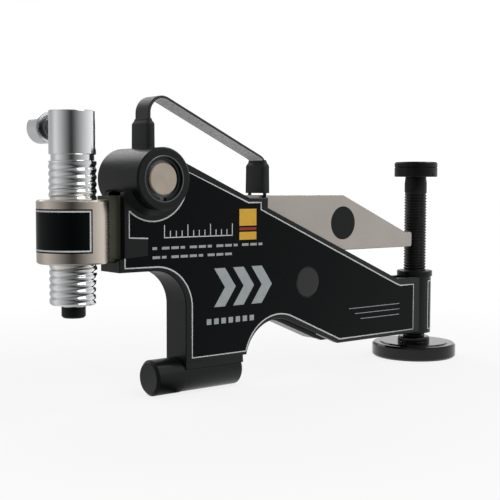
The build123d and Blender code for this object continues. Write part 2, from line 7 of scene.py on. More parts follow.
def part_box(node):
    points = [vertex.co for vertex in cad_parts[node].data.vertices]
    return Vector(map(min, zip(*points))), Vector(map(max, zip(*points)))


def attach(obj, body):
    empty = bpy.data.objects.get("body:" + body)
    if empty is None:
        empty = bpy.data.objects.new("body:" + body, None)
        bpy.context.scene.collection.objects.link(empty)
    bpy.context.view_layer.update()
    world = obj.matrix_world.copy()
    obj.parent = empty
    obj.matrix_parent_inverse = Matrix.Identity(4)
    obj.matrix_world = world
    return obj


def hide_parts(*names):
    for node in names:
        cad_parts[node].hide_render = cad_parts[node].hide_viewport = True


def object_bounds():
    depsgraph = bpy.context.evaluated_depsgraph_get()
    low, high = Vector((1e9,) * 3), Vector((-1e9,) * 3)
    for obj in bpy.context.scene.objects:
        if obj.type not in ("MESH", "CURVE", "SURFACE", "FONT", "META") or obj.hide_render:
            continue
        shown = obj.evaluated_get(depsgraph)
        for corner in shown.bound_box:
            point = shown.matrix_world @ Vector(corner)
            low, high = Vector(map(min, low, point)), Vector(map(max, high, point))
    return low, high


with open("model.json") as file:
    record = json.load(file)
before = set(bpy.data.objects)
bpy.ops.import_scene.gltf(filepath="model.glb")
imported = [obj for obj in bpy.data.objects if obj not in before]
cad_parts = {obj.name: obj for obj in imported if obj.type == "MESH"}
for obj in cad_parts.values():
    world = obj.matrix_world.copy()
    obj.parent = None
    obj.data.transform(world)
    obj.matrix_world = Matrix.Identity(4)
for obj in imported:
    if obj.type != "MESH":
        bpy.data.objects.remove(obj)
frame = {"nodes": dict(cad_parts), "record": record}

# Flange alignment tool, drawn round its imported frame. Metres, with MM for sizes in millimetres.
MM = 0.001
cad_box = [list(corner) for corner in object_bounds()]

# Camera of the photograph, which is 500 pixels square
CAMERA_PLACE = (-482.9 * MM, -694.5 * MM, 163.7 * MM)
CAMERA_TURN = radians(-39.15)
CAMERA_TILT = radians(86.27)
CAMERA_ROLL = radians(0.19)
FOCAL_PIXELS = 980.1
PHOTO_PIXELS = 500
SENSOR_MM = 36.0

# Directions in which reflections find the room darker: past the camera, and a grey screen behind
CAMERA_SIDE = (-0.55, -0.835, 0.0)
SCREEN_SIDE = (-0.14, 0.99, 0.0)

# Sizes in millimetres
FILM_THICKNESS = 0.12
INK_THICKNESS = 0.06
WRAP_THICKNESS = 0.1
KEYLINE_WIDTH = 1.3
MERGE_DISTANCE = 0.01


def middle(node):
    """Centre of a CAD node, in millimetres."""
    low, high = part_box(node)
    return [(a + b) / 2 / MM for a, b in zip(low, high)]


def half_size(node):
    """Half of a CAD node's size along X, Y and Z, in millimetres."""
    low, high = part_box(node)
    return [(b - a) / 2 / MM for a, b in zip(low, high)]


def heights(node):
    """Lowest and highest Z of a CAD node, in millimetres."""
    return [corner[2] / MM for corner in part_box(node)]


# Places and sizes in millimetres that the new pieces take from the frame. Centres are in X and Z.
PLATE_FACE = middle("front_side_plate")[1] - half_size("front_side_plate")[1]
TUBE_CENTRE = middle("load_pin")[::2]
TUBE_HALF_LENGTH = half_size("load_tube")[1]
CROSS_PIN_CENTRE = middle("cross_pin")[::2]
CROSS_PIN_RADIUS = half_size("cross_pin")[2]
CYLINDER_X = middle("cylinder_barrel")[0]
CYLINDER_RADIUS = half_size("cylinder_barrel")[1]
COLLAR_RADIUS = half_size("collar")[0]
LEG_X = middle("leg_screw")[0]
LEG_RADIUS = half_size("leg_screw")[1]
BOSS_RADIUS = half_size("leg_boss")[1]
STRAP_LEFT_X = middle("left_boot")[0]
STRAP_RIGHT_X = middle("right_boot")[0]


def deselect():
    """Leaves nothing selected, because operators act on all that is."""
    bpy.ops.object.select_all(action="DESELECT")


def make_active(obj):
    """Selects one object alone, for the operators that follow."""
    deselect()
    obj.select_set(True)
    bpy.context.view_layer.objects.active = obj


def linear(text):
    """sRGB hex to the linear colour that a shader takes."""
    parts = [int(text[i:i + 2], 16) / 255 for i in (0, 2, 4)]
    return [c / 12.92 if c <= 0.04045 else ((c + 0.055) / 1.055) ** 2.4 for c in parts] + [1.0]


def add_node(tree, kind, inputs=None, **settings):
    """Adds a node with its settings, and fills its inputs with values or other nodes' outputs."""
    new = tree.nodes.new(kind)
    for name, value in settings.items():
        setattr(new, name, value)
    for key, value in (inputs or {}).items():
        if isinstance(value, bpy.types.NodeSocket):
            tree.links.new(value, new.inputs[key])
        else:
            new.inputs[key].default_value = value
    return new


def new_material(name):
    """A material with an empty tree."""
    material = bpy.data.materials.new(name)
    material.use_nodes = True
    material.node_tree.nodes.clear()
    return material


def surface(name, colours, roughness, metallic=0.0, grain=(1.0, 1.0, 1.0), grain_mm=1.0,
            bump=0.1, bump_mm=0.05, edge_mm=0.0, blotch_mm=40.0, spread=0.08, sheen=0.0,
            specular=0.5, painted_shade=None):
    """Shader of one finish: two colours mixed in soft blotches, a fine grain in bump and roughness.

    Sizes are real ones in millimetres: of the grain, which grain stretches along X, Y and Z, of its
    depth, of the rounded edges and of the blotches. spread is how far the roughness strays.
    painted_shade is a dark colour of painted shade that takes over below a place along X, with the
    places where it is full and where it ends.
    """
    material = new_material(name)
    tree = material.node_tree
    place = add_node(tree, "ShaderNodeTexCoord").outputs["Object"]
    fine_scale = [stretch / (grain_mm * MM) for stretch in grain]
    fine_place = add_node(tree, "ShaderNodeMapping", {"Vector": place, "Scale": fine_scale})
    fine = add_node(
        tree, "ShaderNodeTexNoise",
        {"Vector": fine_place.outputs["Vector"], "Scale": 1.0, "Detail": 3.0, "Roughness": 0.6},
    )
    blotches = add_node(
        tree, "ShaderNodeTexNoise",
        {"Vector": place, "Scale": 1.0 / (blotch_mm * MM), "Detail": 4.0, "Roughness": 0.55},
    )
    colour = add_node(
        tree, "ShaderNodeMix",
        {0: blotches.outputs["Fac"], 6: linear(colours[0]), 7: linear(colours[1])},
        data_type="RGBA",
    )
    # Painted shade: below a place along X the colour darkens to a dark shade colour
    if painted_shade:
        painted_shade_colour, painted_shade_low, painted_shade_high = painted_shade
        along = add_node(tree, "ShaderNodeSeparateXYZ", {"Vector": place}).outputs["X"]
        painted_shade_zone = add_node(
            tree, "ShaderNodeMapRange",
            {"Value": along, "From Min": painted_shade_high * MM, "From Max": painted_shade_low * MM},
            interpolation_type="SMOOTHSTEP",
        )
        colour = add_node(
            tree, "ShaderNodeMix",
            {0: painted_shade_zone.outputs["Result"], 6: colour.outputs[2], 7: linear(painted_shade_colour)},
            data_type="RGBA",
        )
    rough = add_node(
        tree, "ShaderNodeMapRange",
        {"Value": fine.outputs["Fac"], "From Min": 0.3, "From Max": 0.7,
         "To Min": roughness - spread, "To Max": roughness + spread},
    )
    inputs = {"Height": fine.outputs["Fac"], "Strength": bump, "Distance": bump_mm * MM}
    if edge_mm:
        rounded = add_node(tree, "ShaderNodeBevel", {"Radius": edge_mm * MM}, samples=4)
        inputs["Normal"] = rounded.outputs["Normal"]
    relief = add_node(tree, "ShaderNodeBump", inputs)
    shader = add_node(
        tree, "ShaderNodeBsdfPrincipled",
        {"Base Color": colour.outputs[2], "Roughness": rough.outputs["Result"],
         "Metallic": metallic, "Normal": relief.outputs["Normal"], "Sheen Weight": sheen,
         "Specular IOR Level": specular},
    )
    add_node(tree, "ShaderNodeOutputMaterial", {"Surface": shader.outputs["BSDF"]})
    return material


def screen_ink(name, colours, roughness):
    """Screen ink on film: flat and slightly worn."""
    return surface(name, colours, roughness, grain_mm=0.6, bump_mm=0.02, blotch_mm=6.0)


# Satin powder coat on welded steel plate: fine orange peel, soft grey highlights
powder_coat = surface(
    "powder_coat", ("080c0b", "0d1311"), 0.34, grain_mm=1.1, bump=0.15, bump_mm=0.05, edge_mm=0.6,
    specular=0.3)
# The same coat over weld beads, which leave it lumpy every few millimetres
weld_coat = surface(
    "coated_weld_bead", ("090d0c", "111715"), 0.36, grain_mm=5.5, bump=0.35, bump_mm=0.5,
    specular=0.3)
# Gloss vinyl film, printed blue-black: smooth, with a clear reflection
vinyl_film = surface(
    "vinyl_film", ("02050a", "070d0b"), 0.26, grain_mm=2.5, bump=0.03, bump_mm=0.02, blotch_mm=120.0,
    spread=0.04, specular=0.09)
# Screen inks: white for keylines, grey for marks, and yellow and red, which stay a little glossier
white_ink = screen_ink("white_ink", ("c9cdcf", "e4e6e6"), 0.5)
grey_ink = screen_ink("grey_ink", ("9aa2a4", "b4babb"), 0.5)
yellow_ink = screen_ink("yellow_ink", ("d9a21c", "e6b83a"), 0.45)
red_ink = screen_ink("red_ink", ("8e1c14", "a3281a"), 0.45)
# Satin nickel plate on milled steel: warm, with milling lines along the bar
milled_plate = dict(
    colours=("aea7a0", "c3bcb5"), roughness=0.44, metallic=0.85, grain=(0.06, 1.0, 1.0),
    grain_mm=0.5, bump=0.25, bump_mm=0.03, edge_mm=0.5, blotch_mm=60.0, spread=0.1)
milled_nickel = surface("milled_nickel", **milled_plate)
# Painted shade on the carriage: a dark olive zone beside the weld to the collar, where its side face
# lies in shade between the collar and the plates
painted_shade_nickel = surface("painted_shade_nickel", painted_shade=("55564a", -64.0, -58.0), **milled_plate)
# The same plate on a turned collar: lines run round it, so they are stacked along Z
turned_nickel = surface(
    "turned_nickel", ("c2b6ab", "d3c9be"), 0.27, metallic=1.0, grain=(0.04, 0.04, 1.0), grain_mm=0.5,
    bump=0.03, bump_mm=0.01, edge_mm=0.5, blotch_mm=30.0, spread=0.03)
# Ground steel end of a hardened pin: warm grey with a fine ground grain
ground_steel = surface(
    "ground_steel", ("b4a899", "cbbfb0"), 0.46, metallic=0.7, grain_mm=0.7, bump=0.2, bump_mm=0.03,
    edge_mm=0.4, blotch_mm=9.0)
# Bright zinc plate on a turned thread: clear reflections, faint turning lines
bright_zinc = surface(
    "bright_zinc", ("e0e4e6", "eef0f0"), 0.15, metallic=1.0, grain=(0.05, 0.05, 1.0), grain_mm=0.6,
    bump=0.04, bump_mm=0.02, blotch_mm=25.0, spread=0.04)
# Hard chrome on the ground rod
hard_chrome = surface(
    "hard_chrome", ("b9bcc0", "cdd0d3"), 0.12, metallic=1.0, grain=(0.05, 0.05, 1.0), grain_mm=0.4,
    bump=0.05, bump_mm=0.01, spread=0.04)
# Zinc-nickel plate on hydraulic fittings: greyer and softer than zinc
plated_steel = surface(
    "plated_steel", ("8d9092", "a5a7a8"), 0.3, metallic=1.0, grain_mm=0.5, bump_mm=0.02,
    edge_mm=0.4)
# Turned aluminium cap: bright, with fine lines round its axis
turned_aluminium = surface(
    "turned_aluminium", ("e6eaec", "f3f5f6"), 0.26, metallic=1.0, grain=(0.05, 1.0, 0.05),
    grain_mm=0.5, bump=0.2, bump_mm=0.02, edge_mm=0.4)
# Black oxide on turned steel: dull black with an oily sheen
black_oxide = surface(
    "black_oxide", ("0b0d0c", "141615"), 0.34, grain=(0.15, 0.15, 1.0), grain_mm=0.6,
    bump_mm=0.02, edge_mm=0.4, blotch_mm=14.0, specular=0.2)
# The same on the foot's turned face: smoother, so it mirrors the room at a low angle
foot_oxide = surface(
    "foot_oxide", ("070808", "0d0e0e"), 0.16, grain_mm=1.5, bump=0.03, bump_mm=0.02,
    edge_mm=0.8, blotch_mm=20.0, spread=0.05, specular=0.3)
# Black oxide on a ground pin face: a little greyer
pin_oxide = surface(
    "ground_pin_oxide", ("0b0c0d", "141516"), 0.42, grain_mm=0.8, bump=0.2, bump_mm=0.03, edge_mm=0.6,
    blotch_mm=10.0)
# Paint worn through to steel on a turned edge
worn_edge = surface(
    "worn_edge", ("4b4e50", "77797a"), 0.28, metallic=0.9, grain_mm=0.9, bump=0.2, bump_mm=0.03,
    blotch_mm=4.0)
# Spring steel: dark grey, drawn or stamped
spring_steel = surface(
    "spring_steel", ("2c2e30", "3d4042"), 0.35, metallic=0.9, grain_mm=0.5, bump_mm=0.02)
# Turned bearing bronze
bearing_bronze = surface(
    "bearing_bronze", ("7d5a2c", "96703c"), 0.35, metallic=1.0, grain=(0.1, 1.0, 0.1), grain_mm=0.5,
    bump_mm=0.02)
# Black acetal: matt moulded plastic with a dull shine
black_acetal = surface(
    "black_acetal", ("0c0e0e", "131515"), 0.45, grain_mm=0.8, bump=0.2, bump_mm=0.03, edge_mm=0.4,
    specular=0.2)
# Cast polyurethane seals
polyurethane = surface("polyurethane", ("1c1814", "2a241d"), 0.45, grain_mm=0.8)
# Moulded rubber boots: matt, slightly lighter where dust sits
boot_rubber = surface(
    "boot_rubber", ("191b1b", "222424"), 0.5, grain_mm=0.7, bump=0.25, bump_mm=0.05, blotch_mm=15.0,
    edge_mm=0.8, specular=0.3)
# Upper face of the strap: smooth dark elastomer
strap_top = surface(
    "strap_top", ("1b1d1e", "282a2b"), 0.45, grain_mm=0.9, bump=0.3, bump_mm=0.05)
# Underside of the strap: pale woven carcass with a grain of one to three millimetres
strap_weave = surface(
    "strap_weave", ("bcbebc", "d6d8d6"), 0.7, grain=(0.5, 1.4, 0.5), grain_mm=1.3, bump=0.9,
    bump_mm=0.3, blotch_mm=5.0, sheen=0.2)

slot_finish = {
    "black_paint": powder_coat,
    "bare_steel": ground_steel,
    "spring_steel": spring_steel,
    "bronze": bearing_bronze,
    "black_oxide_steel": black_oxide,
    "webbing": strap_top,
    "boot_rubber": boot_rubber,
    "satin_nickel": milled_nickel,
    "black_polymer": black_acetal,
    "seal_polyurethane": polyurethane,
    "bright_zinc": bright_zinc,
    "plated_steel": plated_steel,
    "bright_aluminium": turned_aluminium,
    "chromed_rod": hard_chrome,
}
node_finish = {
    "collar": turned_nickel,
    "front_pin_bush": worn_edge,
    "rear_pin_bush": worn_edge,
    "thrust_washer": black_oxide,
    "foot_pad": foot_oxide,
    "carriage_plate": painted_shade_nickel,
    "cross_pin": pin_oxide,
    "front_tube_weld": weld_coat,
    "rear_tube_weld": weld_coat,
    "bar_welds": weld_coat,
}


def finish_nodes():
    """Gives each CAD node the finish of its slot, or its own."""
    for row in frame["record"]["subparts"]:
        material = node_finish.get(row["node"], slot_finish[row["material_slot"]])
        mesh = frame["nodes"][row["node"]].data
        mesh.materials.clear()
        mesh.materials.append(material)


def finish_piece(obj, name, body, materials, replaced=()):
    """Names a piece, gives it its materials and puts it on its body in place of the replaced nodes."""
    obj.name = name
    obj.data.name = name
    obj.data.materials.clear()
    for material in materials:
        obj.data.materials.append(material)
    if replaced:
        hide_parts(*replaced)
    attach(obj, body)


def arc(centre, radius, start, end, steps=24):
    """Points of an arc in X and Z, in millimetres and degrees."""
    angles = [radians(start + (end - start) * i / steps) for i in range(steps + 1)]
    return [(centre[0] + radius * cos(a), centre[1] + radius * sin(a)) for a in angles]


def edit(obj):
    """Opens a mesh in edit mode with all of it selected."""
    make_active(obj)
    bpy.ops.object.mode_set(mode="EDIT")
    bpy.ops.mesh.select_all(action="SELECT")


def close_mesh():
    """Merges doubles, turns the normals outwards and leaves edit mode."""
    bpy.ops.mesh.select_all(action="SELECT")
    bpy.ops.mesh.remove_doubles(threshold=MERGE_DISTANCE * MM)
    bpy.ops.mesh.normals_make_consistent(inside=False)
    bpy.ops.object.mode_set(mode="OBJECT")


def flat_curve(loops, filled):
    """Flat patch or open line through loops of X and Z points, in millimetres."""
    curve = bpy.data.curves.new("outline", "CURVE")
    curve.dimensions = "2D" if filled else "3D"
    if filled:
        curve.fill_mode = "BOTH"
    for points in loops:
        spline = curve.splines.new("POLY")
        spline.points.add(len(points) - 1)
        for point, (x, z) in zip(spline.points, points):
            point.co = (x * MM, z * MM, 0, 1)
        spline.use_cyclic_u = filled
    obj = bpy.data.objects.new("outline", curve)
    bpy.context.scene.collection.objects.link(obj)
    return obj


def stand_up(obj, y, flatten=1.0):
    """Makes a flat curve a mesh, scales its thickness and stands it on the plane at that Y."""
    make_active(obj)
    bpy.ops.object.convert(target="MESH")
    upright = Matrix.Translation((0, y * MM, 0)) @ Matrix.Rotation(pi / 2, 4, "X")
    obj.data.transform(upright @ Matrix.Diagonal((1, 1, flatten, 1)))
    edit(obj)
    close_mesh()


def film(name, loops, y, thickness, material):
    """Film or ink with its back at y, filled inside its loops and open where one lies in another."""
    obj = flat_curve(loops, True)
    obj.data.extrude = thickness / 2 * MM
    stand_up(obj, y - thickness / 2)
    finish_piece(obj, name, "frame", [material])


def keyline(name, points, y):
    """White printed line along points, as thick as ink."""
    obj = flat_curve([points], False)
    obj.data.bevel_depth = KEYLINE_WIDTH / 2 * MM
    obj.data.bevel_resolution = 1
    obj.data.use_fill_caps = True
    stand_up(obj, y, INK_THICKNESS / KEYLINE_WIDTH)
    finish_piece(obj, name, "frame", [white_ink])


def panel_outline():
    """Outline of the printed film: it follows the plate's edge and steps round the tube."""
    return [
        (-38.2, 106.0),
        (-38.2, 120.3),
        (-56.4, 121.2),
        (-56.4, 142.9),
        *arc(TUBE_CENTRE, 35.0, 229, 371, 30),
        (68.2, 149.0),
        (83.0, 149.0),
        (83.0, 142.6),
        (262.0, 65.2),
        (269.5, 62.5),
        (289.6, 62.5),
        (289.6, 15.6),
        (183.1, 15.4),
        *arc((105.0, 5.9), 40.3, 67, 165.8),
        (6.6, 15.8),
        *arc((-30.1, 59.5), 36.7, 0, 90, 16),
        (-60.6, 96.4),
        (-60.6, 104.4),
    ]


def printed_panel():
    """Film on the front plate, open round the cross pin, with its white keyline. Gives its front."""
    hole_gap, steps = 0.4, 48
    outline = panel_outline()
    last = 360 * (steps - 1) / steps
    pin_hole = arc(CROSS_PIN_CENTRE, CROSS_PIN_RADIUS + hole_gap, 0, last, steps - 1)
    film("front_film", [outline, pin_hole], PLATE_FACE, FILM_THICKNESS, vinyl_film)
    ink = PLATE_FACE - FILM_THICKNESS
    keyline("front_keyline", outline[1:], ink)
    return ink


def bars(name, boxes, ink, material):
    """Printed bars in one piece, each given by its left, bottom, right and top."""
    loops = [[(left, low), (right, low), (right, high), (left, high)]
             for left, low, right, high in boxes]
    film(name, loops, ink, INK_THICKNESS, material)


def ruler_scale(ink):
    """Ticks on a base line, every fourth one twice as long."""
    left, low = -22.0, 121.0
    step, count = 6.0, 13
    tick, half_tick = 5.0, 0.4
    line, line_gap = 0.8, 0.2
    ticks = []
    for i in range(count):
        x = left + step * i
        ticks.append((x - half_tick, low, x + half_tick, low + (tick if i % 4 else 2 * tick)))
    bars("scale_ticks", ticks, ink, white_ink)
    line_high = low - line_gap
    line_right = left + step * (count - 1) + half_tick
    bars("scale_line", [(left - half_tick, line_high - line, line_right, line_high)], ink, white_ink)


def bar_rows(ink):
    """Two rows of bars, with a short one now and then, and a row of squares."""
    left, step, height = -34.0, 9.5, 2.2
    bar, short_bar = 7.5, 4.5
    for name, low, count, period, turn in (
            ("long_bar_row", 110.6, 13, 3, 0), ("short_bar_row", 103.0, 9, 4, 1)):
        boxes = []
        for i in range(count):
            x = left + step * i
            width = short_bar if i % period == turn else bar
            boxes.append((x, low, x + width, low + height))
        bars(name, boxes, ink, grey_ink)
    square, squares, square_step = 5.0, 7, 8.0
    square_left, square_low = 22.0, 43.0
    places = [square_left + square_step * i for i in range(squares)]
    boxes = [(x, square_low, x + square, square_low + square) for x in places]
    bars("square_row", boxes, ink, grey_ink)


def chevrons(ink):
    """Three arrowheads in a row that point to the leg."""
    left, low, step = 30.0, 58.0, 21.0
    thick, rise = 12.0, 17.0
    tip, high = low + rise, low + 2 * rise
    for i in range(3):
        x = left + step * i
        outline = [(x, low), (x + thick, low), (x + 2 * thick, tip), (x + thick, high), (x, high),
                   (x + thick, tip)]
        film(f"chevron_{i}", [outline], ink, INK_THICKNESS, grey_ink)


def colour_blocks(ink):
    """A yellow block over a red and a yellow band."""
    left, right = 58.0, 77.5
    for name, low, high, material in (
            ("yellow_block", 128.5, 143.5, yellow_ink), ("red_band", 124.5, 127.0, red_ink),
            ("yellow_band", 116.0, 123.0, yellow_ink)):
        bars(name, [(left, low, right, high)], ink, material)


def rules(ink):
    """Three thin rules, each shorter than the one above it."""
    left, right, high = 196.0, 268.0, 44.3
    inset, drop, thin = 8.0, 5.5, 0.6
    boxes = [(left + inset * i, high - thin - drop * i, right, high - drop * i) for i in range(3)]
    bars("rules", boxes, ink, grey_ink)


def plain_marks(ink):
    """All the plain print on the film."""
    for mark in (ruler_scale, bar_rows, chevrons, colour_blocks, rules):
        mark(ink)


def turned_mesh(profile, x, steps):
    """Spins a radius and height profile, in millimetres, round an upright axis at x.

    The profile is drawn from a single vertex, by extruding it from each point to the next.
    """
    deselect()
    radius, height = profile[0]
    bpy.ops.mesh.primitive_plane_add(size=MM, location=((x + radius) * MM, 0, height * MM))
    bpy.ops.object.transform_apply()
    obj = bpy.context.object
    edit(obj)
    bpy.ops.mesh.merge(type="CENTER")
    for (radius, height), (next_radius, next_height) in zip(profile, profile[1:]):
        step = ((next_radius - radius) * MM, 0, (next_height - height) * MM)
        bpy.ops.mesh.extrude_region_move(TRANSFORM_OT_translate={"value": step})
    bpy.ops.mesh.select_all(action="SELECT")
    bpy.ops.mesh.spin(steps=steps, angle=2 * pi, center=(x * MM, 0, 0), axis=(0, 0, 1))
    close_mesh()
    return obj


def rows(low, high, step):
    """Heights from low to high, evenly spaced at about step."""
    count = max(1, round((high - low) / step))
    return [low + (high - low) * i / count for i in range(count + 1)]


def cut_thread(obj, x, major, pitch, depth, low, high, runout, sharpness=1.0):
    """Sinks a helical groove into the vertices of a turned surface of radius major.

    The groove fades over runout at both ends. A higher sharpness makes it narrower than its crests.
    """
    for vert in obj.data.vertices:
        dx, dy, z = vert.co.x / MM - x, vert.co.y / MM, vert.co.z / MM
        radius = hypot(dx, dy)
        if abs(radius - major) > 5 * MERGE_DISTANCE or not low <= z <= high:
            continue
        phase = z / pitch - atan2(dy, dx) / (2 * pi)
        valley = (0.5 + 0.5 * cos(2 * pi * phase)) ** sharpness
        fade = max(0.0, min(1.0, (z - low) / runout, (high - z) / runout))
        shrink = (radius - depth * valley * fade) / radius
        vert.co.x = (x + dx * shrink) * MM
        vert.co.y = dy * shrink * MM


def smooth(obj, angle=35):
    """Shades smoothly across edges that turn by less than the angle, in degrees."""
    make_active(obj)
    bpy.ops.object.shade_smooth_by_angle(angle=radians(angle))


def threaded_barrel():
    """Cylinder barrel with its coarse outside thread, a relief above it and a plain head."""
    foot, top = heights("cylinder_barrel")
    thread, barrel, relief = CYLINDER_RADIUS, CYLINDER_RADIUS - 0.3, CYLINDER_RADIUS - 1.8
    inside, inside_top, recess = 14.0, 100.0, 9.0
    thread_top, relief_top = top - 39.3, top - 34.6
    foot_edge, edge, break_edge, support = 1.6, 0.8, 0.4, 0.5
    thread_low, thread_high = foot + foot_edge, thread_top - 0.6
    profile = [(inside, inside_top), (inside, foot), (thread - foot_edge, foot), (thread, thread_low)]
    profile += [(thread, z) for z in rows(thread_low + break_edge, thread_high, 0.4)]
    profile += [(relief, thread_top), (relief, relief_top - 0.3), (relief + 0.3, relief_top)]
    profile += [(barrel - break_edge, relief_top), (barrel, relief_top + break_edge)]
    profile += [(barrel, relief_top + break_edge + support), (barrel, top - edge - support)]
    profile += [(barrel, top - edge), (barrel - 0.25, top - 0.25), (barrel - edge, top)]
    profile += [(recess, top), (recess - break_edge, top - break_edge), (0.0, top - break_edge)]
    obj = turned_mesh(profile, CYLINDER_X, 96)
    cut_thread(obj, CYLINDER_X, thread, 5.6, 0.95, thread_low, thread_high, runout=2.5, sharpness=1.6)
    smooth(obj)
    finish_piece(obj, "threaded_barrel", "cylinder", [bright_zinc], ["cylinder_barrel"])


def threaded_leg():
    """Drop leg with its machine thread, a plain tip below and a plain neck under the head."""
    low, foot, shoulder = -7.8, 7.62, 158.2
    neck_low, neck_high, top = 167.4, 173.9, 178.0
    tip, neck, edge = 7.0, 10.9, 0.6
    profile = [(0.0, low), (tip, low), (tip, foot), (LEG_RADIUS - edge, foot), (LEG_RADIUS, foot + edge)]
    profile += [(LEG_RADIUS, z) for z in rows(foot + 0.9, shoulder, 0.33)]
    profile += [(LEG_RADIUS, neck_low), (neck, neck_high), (neck, top), (0.0, top)]
    obj = turned_mesh(profile, LEG_X, 72)
    cut_thread(obj, LEG_X, LEG_RADIUS, 3.0, 1.1, foot + edge, shoulder, runout=2.0)
    smooth(obj)
    finish_piece(obj, "threaded_leg", "leg", [black_oxide], ["leg_screw"])


def strap_line(step):
    """Places and directions along the strap's middle, every step millimetres: two bends, three runs."""
    foot_left, foot_right = 216.7, heights("handle_strap")[0]
    corner_z, fall = 244.8, radians(24.6)
    bend_left, bend_right = 13.2, 7.0
    span = STRAP_RIGHT_X - STRAP_LEFT_X
    reach_left = bend_left * tan((pi / 2 + fall) / 2)
    reach_right = bend_right * tan((pi / 2 - fall) / 2)
    rise = corner_z - reach_left - foot_left
    slope = span / cos(fall) - reach_left - reach_right
    drop = corner_z - span * tan(fall) - reach_right - foot_right
    x, z, heading = STRAP_LEFT_X, foot_left, pi / 2
    places = [(x, z, heading)]
    for run, radius, turn in ((rise, 0, 0), (0, bend_left, pi / 2 + fall), (slope, 0, 0),
                              (0, bend_right, pi / 2 - fall), (drop, 0, 0)):
        count = max(2, round((run + radius * turn) / step))
        part = turn / count
        stride = run / count + 2 * radius * sin(part / 2)
        for _ in range(count):
            x += cos(heading - part / 2) * stride
            z += sin(heading - part / 2) * stride
            heading -= part
            places.append((x, z, heading))
    return places


def swept(name, places, sections):
    """Closed mesh through sections, each a ring of points across a place and its direction."""
    verts, faces = [], []
    for (x, z, heading), section in zip(places, sections):
        verts += [((x - sin(heading) * h) * MM, y * MM, (z + cos(heading) * h) * MM) for y, h in section]
    count = len(sections[0])
    last = len(verts) - count
    for ring in range(0, last, count):
        for j in range(count):
            a, b = ring + j, ring + (j + 1) % count
            faces.append((a, b, b + count, a + count))
    faces += [tuple(range(count)), tuple(range(last, last + count))]
    mesh = bpy.data.meshes.new(name)
    mesh.from_pydata(verts, [], faces)
    obj = bpy.data.objects.new(name, mesh)
    bpy.context.scene.collection.objects.link(obj)
    edit(obj)
    close_mesh()
    return obj


def carrying_strap():
    """Flat strap with bevelled edges, a dark upper face and a cross-ribbed woven underside."""
    half_width, half_thick, bevel = half_size("handle_strap")[1], 1.4, 0.5
    rib, rib_every = 0.12, 3
    places = strap_line(0.8)
    sections = []
    for i in range(len(places)):
        under = half_thick - (0 if i % rib_every else rib)
        upper_half = [(-half_width, half_thick - bevel), (bevel - half_width, half_thick),
                      (half_width - bevel, half_thick), (half_width, half_thick - bevel)]
        lower_half = [(half_width, bevel - half_thick), (half_width - bevel, -under),
                      (bevel - half_width, -under), (-half_width, bevel - half_thick)]
        sections.append(upper_half + lower_half)
    obj = swept("strap", places, sections)
    finish_piece(obj, "carrying_strap", "frame", [strap_top, strap_weave], ["handle_strap"])
    sides = len(sections[0])
    underside = (4, 5, 6)
    for face in obj.data.polygons[:sides * (len(places) - 1)]:
        face.material_index = int(face.index % sides in underside)
    smooth(obj)


def boot(name, replaced, x, low, high, stages):
    """Upright moulded boot whose half width and half thickness change at shares of its height."""
    rounding = ((1.0, 0.6), (0.92, 0.92), (0.8, 1.0))
    corners = []
    for side_y, side_h in ((1, 1), (-1, 1), (-1, -1), (1, -1)):
        run = rounding if side_y == side_h else rounding[::-1]
        corners += [(side_y * y, side_h * h) for y, h in run]
    places = [(x, z, pi / 2) for z in rows(low, high, 0.6)]
    sections = []
    for i in range(len(places)):
        share = i / (len(places) - 1)
        before, after = next(pair for pair in zip(stages, stages[1:]) if share <= pair[1][0])
        part = (share - before[0]) / (after[0] - before[0])
        eased = part * part * (3 - 2 * part)
        width, thick = [a + (b - a) * eased for a, b in zip(before[1:], after[1:])]
        sections.append([(y * width, h * thick) for y, h in corners])
    obj = swept(name, places, sections)
    finish_piece(obj, name, "frame", [boot_rubber], [replaced])
    smooth(obj, 50)


def boots():
    """Two boots: one upright on the tube, one that covers the strap's sharp bend."""
    boot("left_strap_boot", "left_boot", STRAP_LEFT_X, 194.6, 219.6,
         [(0.0, 13.6, 4.4), (0.03, 13.0, 4.0), (0.8, 12.9, 3.9), (0.97, 10.9, 2.3), (1.0, 10.7, 2.1)])
    boot("right_strap_boot", "right_boot", STRAP_RIGHT_X, 157.3, 187.4,
         [(0.0, 13.1, 4.6), (0.8, 12.9, 4.4), (0.97, 10.9, 2.6), (1.0, 10.7, 2.3)])


def block(low, high):
    """Box between two corners, in millimetres."""
    deselect()
    bpy.ops.mesh.primitive_cube_add(size=MM, location=[(a + b) / 2 * MM for a, b in zip(low, high)])
    obj = bpy.context.object
    obj.scale = [b - a for a, b in zip(low, high)]
    bpy.ops.object.transform_apply()
    return obj


def bridge():
    """Slim bracket under the right boot: a plate on two feet that stand on the plates' pads."""
    foot_low, plate_high = heights("handle_bridge")
    plate_low, overlap = plate_high - 2.0, 0.4
    plate_half_length, plate_half_width = 3.6, 12.3
    foot_left, foot_right = STRAP_RIGHT_X - 1.1, STRAP_RIGHT_X + 0.5
    foot_inside, foot_outside = 9.2, 12.33
    plate = block((STRAP_RIGHT_X - plate_half_length, -plate_half_width, plate_low),
                  (STRAP_RIGHT_X + plate_half_length, plate_half_width, plate_high))
    feet = [block((foot_left, low, foot_low), (foot_right, high, plate_low + overlap))
            for low, high in ((-foot_outside, -foot_inside), (foot_inside, foot_outside))]
    make_active(plate)
    for foot in feet:
        foot.select_set(True)
    bpy.ops.object.join()
    finish_piece(plate, "slim_bridge", "frame", [powder_coat], ["handle_bridge"])


def lay_down(obj, centre):
    """Turns an upright mesh about the origin to lie along Y through a centre in X and Z."""
    place = Matrix.Translation((centre[0] * MM, 0, centre[1] * MM))
    obj.data.transform(place @ Matrix.Rotation(-pi / 2, 4, "X"))


